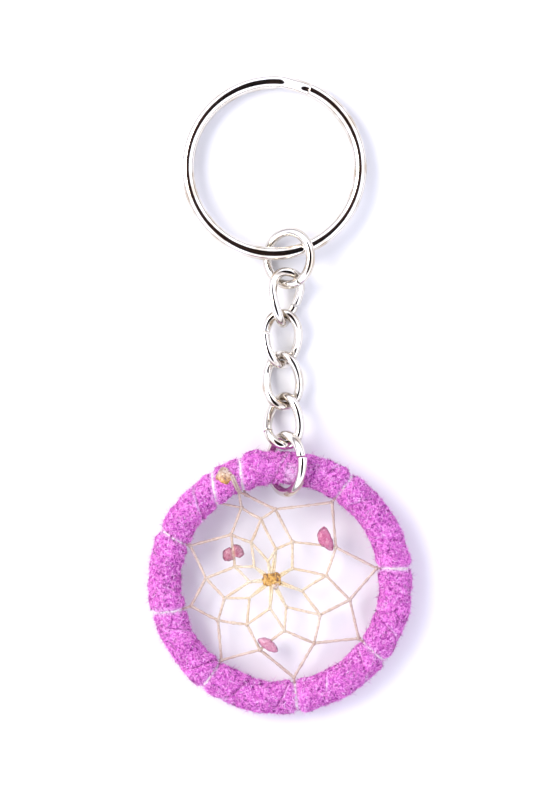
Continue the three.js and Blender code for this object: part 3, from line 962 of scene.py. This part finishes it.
def make_web():
    """One waxed thread, from its first knot on the hoop to its cut end at the centre."""
    rng = np.random.default_rng(3)
    parts = web_rounds(rng) + doubled_threads(rng) + hoop_stitches(rng) + start_threads() + centre_wraps()
    points, faces = joined(parts)
    piece = hoop_mesh("sinew_thread", points, faces, SINEW)
    reach = np.linalg.norm(points - in_plane(CENTRE_KNOT), axis=1)
    set_shade(piece, "near_centre", np.clip(1.2 - reach / 10.5, 0, 1))
    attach(piece, "hoop")
    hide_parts("sinew_web")


def make_loops():
    """The web's thread where it goes round the wrapped hoop, pale and dry there."""
    points, faces = joined([suede_loop(loop) for loop in range(LOOPS)])
    piece = hoop_mesh("sinew_loops", points, faces, PALE_SINEW)
    set_shade(piece, "near_centre", np.zeros(len(points)))
    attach(piece, "hoop")


def start_threads():
    """Two stretches that come from the first knot, over the suede's inner side, to the first stitches."""
    parts = []
    for start_angle, stitch in ((113.5, STITCHES[0]), (114.6, STITCHES[8])):
        angle = math.radians(start_angle)
        route = []
        for around_tube in (1.35, 1.8, 2.3, 2.8):
            distance = wrap_radius(np.array([angle]), np.array([around_tube])) + 0.16
            route.append(tube_point(np.array([angle]), np.array([around_tube]), distance)[0])
        route.append(in_plane(stitch))
        parts.append(tube(smooth_path(route, 0.2), START_RADIUS, 10))
    return parts


def centre_wraps():
    """Turns of thread round the gathered centre, and the cut end of the thread."""
    centre = in_plane(CENTRE_KNOT)
    parts = []
    for level, size in ((-0.22, 0.62), (0.0, 0.74), (0.24, 0.6)):
        angle = np.linspace(0, math.tau * 0.98, 40)
        path = centre + np.stack([size * np.cos(angle), size * np.sin(angle),
                                  level + 0.1 * np.sin(angle * 2 + level * 9)], axis=-1)
        parts.append(tube(path, TAIL_RADIUS, 8))
    tail = [centre + (0.1, -0.5, 0.3), centre + (0.12, -1.0, 0.42), centre + (0.05, -1.6, 0.3)]
    parts.append(tube(smooth_path(tail, 0.12), HITCH_RADIUS, 8))
    return parts


# ---- glue drops and beads


def ball_shape(columns=56, rows=36):
    """A unit ball as (points, faces) whose faces look outwards."""
    longitude = circle(columns)[None, :]
    latitude = np.linspace(-math.pi / 2 + 0.02, math.pi / 2 - 0.02, rows)[:, None]
    points = np.stack([np.cos(latitude) * np.cos(longitude), np.cos(latitude) * np.sin(longitude),
                       np.broadcast_to(np.sin(latitude), (rows, columns))], axis=-1)
    return skin(points)


def make_glue(name, node, place, size, seed, rough, pale_and_glint, sag):
    """A lumpy hardened drop. Its place is in millimetres from the hoop's centre."""
    points, faces = ball_shape()
    lumps = 1 + rough * wave_noise(points, 1.3, seed) + 0.4 * rough * wave_noise(points, 0.55, seed + 1)
    # Paler from one end of Y to the other by the given pair; on the centre run this is a painted highlight.
    whitening = pale_and_glint[0] + (pale_and_glint[1] - pale_and_glint[0]) * np.clip(0.5 + 0.9 * points[:, 1], 0, 1)
    points = points * lumps[:, None] * np.array(size)
    points[:, 2] -= sag * (points[:, 0] ** 2 + points[:, 1] ** 2)
    piece = hoop_mesh(name, points + np.array(place), faces, AMBER)
    set_shade(piece, "pale_and_glint", whitening)
    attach(piece, "hoop")
    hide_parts(node)


def make_glue_drops():
    """Two drops on the centre knot, and one on the suede over the thread's first knot."""
    x, y = CENTRE_KNOT
    make_glue("centre_glue_drop", "centre_glue", (x, y + 0.1, 0.05), **CENTRE_DROP)
    make_glue("centre_glue_run", "centre_glue", (x + 0.5, y - 0.75, 0.15), **CENTRE_RUN)
    angle = math.atan2(STITCHES[8][1], STITCHES[8][0])
    x = START_DROP_REACH * math.cos(angle)
    y = START_DROP_REACH * math.sin(angle)
    make_glue("start_glue_drop", "start_glue", (x, y, START_DROP_HEIGHT), **START_DROP)


def outline_radius(outline, angle):
    """The distance from the middle to an outline with straight sides and softened corners, at each angle."""
    corners = np.array(outline)
    sides = np.concatenate([np.linspace(a, b, 40, endpoint=False)
                            for a, b in zip(corners, np.roll(corners, -1, axis=0))])
    at = np.arctan2(sides[:, 1], sides[:, 0])
    order = np.argsort(at)
    at = at[order]
    reach = np.hypot(sides[:, 0], sides[:, 1])[order]
    fine = np.linspace(-math.pi, math.pi, 361)
    along = np.interp(fine, np.concatenate([at - math.tau, at, at + math.tau]), np.tile(reach, 3))
    blur = np.hanning(13)
    blur /= blur.sum()
    along = np.convolve(np.concatenate([along[-15:-1], along, along[1:15]]), blur, mode="same")[14:-14]
    return np.interp(angle, fine, along)


def make_bead(node):
    """A tumbled chip of its own outline, with worn flats, and a groove if its thread has cut in."""
    chip = CHIPS[node]
    points, faces = ball_shape(96, 56)
    flat = np.hypot(points[:, 0], points[:, 1])
    angle = np.arctan2(points[:, 1], points[:, 0])
    height = points[:, 2].copy()
    reach = outline_radius(chip["outline"], angle) * flat**0.8
    points = np.stack([reach * np.cos(angle), reach * np.sin(angle),
                       signed_power(height, 0.9) * chip["half_thickness"]], axis=-1)
    rng = np.random.default_rng(chip["seed"])
    for _ in range(CHIP_FLATS):
        normal = rng.normal(size=3) * (1, 1, 2.2)
        normal /= np.linalg.norm(normal)
        limit = (points @ normal).max() * rng.uniform(0.82, 0.94)
        points = points - 0.9 * np.outer(np.maximum(points @ normal - limit, 0), normal)
    points = points * (1 + 0.02 * wave_noise(points, 0.9, chip["seed"]))[:, None]
    first, second = chip["thread"]
    along = in_plane(STITCHES[second]) - in_plane(STITCHES[first])
    along /= np.linalg.norm(along)
    aside = points[:, 1] * along[0] - points[:, 0] * along[1]
    cut = chip["groove"] * plateau(aside, 0.3) * (points[:, 2] > 0)
    points[:, 2] = points[:, 2] * (1 - cut)
    place = box_middle(node)
    piece = mesh_object(node + "_chip", placed(points, hoop_frame()[1], place), faces, STONES[node])
    # Painted shade: darker round the chip's rim.
    set_shade(piece, "rim_shade", plateau(height, 0.55))
    set_shade(piece, "stained", chip["stain"] * bell(aside, 0.24))
    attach(piece, node)
    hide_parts(node)


# ---- camera, floor and light


def make_floor():
    """A plain board just under the object."""
    place = (0, 0, float(CAD_BOX[0][2]) - FLOOR_DROP)
    bpy.ops.mesh.primitive_grid_add(x_subdivisions=8, y_subdivisions=8, size=FLOOR_SIZE, location=place)
    floor = bpy.context.object
    floor.name = "floor"
    floor.data.materials.append(floor_material())


def make_camera():
    """Straight above, with the frame's long side along Y."""
    low, high = Vector(CAD_BOX[0]), Vector(CAD_BOX[1])
    data = bpy.data.cameras.new("camera")
    camera = bpy.data.objects.new("camera", data)
    bpy.context.scene.collection.objects.link(camera)
    data.sensor_fit = "VERTICAL"
    data.sensor_height = SENSOR_HEIGHT
    data.lens = SENSOR_HEIGHT * CAMERA_DISTANCE / ((high.y - low.y) * CAMERA_MARGIN)
    data.clip_start = 0.01
    data.clip_end = 20
    camera.location = (low + high) / 2 + Vector((*CAMERA_ASIDE, CAMERA_DISTANCE))
    bpy.context.scene.camera = camera


def make_key_light(place, size, power, colour):
    """A round soft light that looks at the origin."""
    data = bpy.data.lights.new("key", "AREA")
    data.shape = "DISK"
    data.size = size
    data.energy = power
    data.color = colour
    light = bpy.data.objects.new("key", data)
    light.location = place
    light.rotation_euler = (-Vector(place)).to_track_quat("-Z", "Y").to_euler()
    bpy.context.scene.collection.objects.link(light)


def make_world():
    """A pale studio. Its dark strip overhead and dim horizon give polished metal its dark lines."""
    world = bpy.data.worlds.new("studio")
    bpy.context.scene.world = world
    world.use_nodes = True
    tree = world.node_tree
    new = tree.nodes.new
    link = tree.links.new
    direction = new("ShaderNodeTexCoord").outputs["Generated"]
    mapping = new("ShaderNodeMapping")
    mapping.inputs["Scale"].default_value = (1 / STRIP_HALF_WIDTH, 1 / STRIP_HALF_LENGTH, 0)
    link(direction, mapping.inputs["Vector"])
    length = new("ShaderNodeVectorMath")
    length.operation = "LENGTH"
    link(mapping.outputs["Vector"], length.inputs[0])
    noise = new("ShaderNodeTexNoise")
    noise.inputs["Scale"].default_value = 4.0
    link(direction, noise.inputs["Vector"])
    height = new("ShaderNodeSeparateXYZ")
    link(direction, height.inputs["Vector"])
    strip = colour_ramp(tree, noise.outputs["Fac"], [(0.5, (0.004, 0.004, 0.005)),
                                                     (0.66, (0.075, 0.035, 0.028))])
    sides = colour_ramp(tree, height.outputs["Z"], [(0.0, (0.16, 0.15, 0.17)), (0.16, (0.22, 0.21, 0.24)),
                                                    (0.34, (0.84, 0.86, 1.0))])
    outside = colour_ramp(tree, length.outputs["Value"], [(0.84, (0, 0, 0)), (1.0, (1, 1, 1))])
    mix = new("ShaderNodeMix")
    mix.data_type = "RGBA"
    link(outside, mix.inputs[0])
    link(strip, mix.inputs[6])
    link(sides, mix.inputs[7])
    background = tree.nodes["Background"]
    background.inputs["Strength"].default_value = WORLD_STRENGTH
    link(mix.outputs[2], background.inputs["Color"])


def set_view():
    """Colours are shown as they are, with no film look."""
    settings = bpy.context.scene.view_settings
    settings.view_transform = "Standard"
    settings.look = "None"


# ---- build

make_camera()
make_floor()
make_world()
make_key_light(**KEY_LIGHT)
set_view()
make_key_ring()
make_round_ring("upper_jump_ring", **UPPER_RING)
make_round_ring("lower_jump_ring", **LOWER_RING)
for link in LINK_TURNS:
    make_link(link)
finish_core()
make_suede()
make_nap("suede_nap_short", **SHORT_FIBRES)
make_nap("suede_nap_long", **LONG_FIBRES)
make_web()
make_loops()
make_glue_drops()
for bead in CHIPS:
    make_bead(bead)
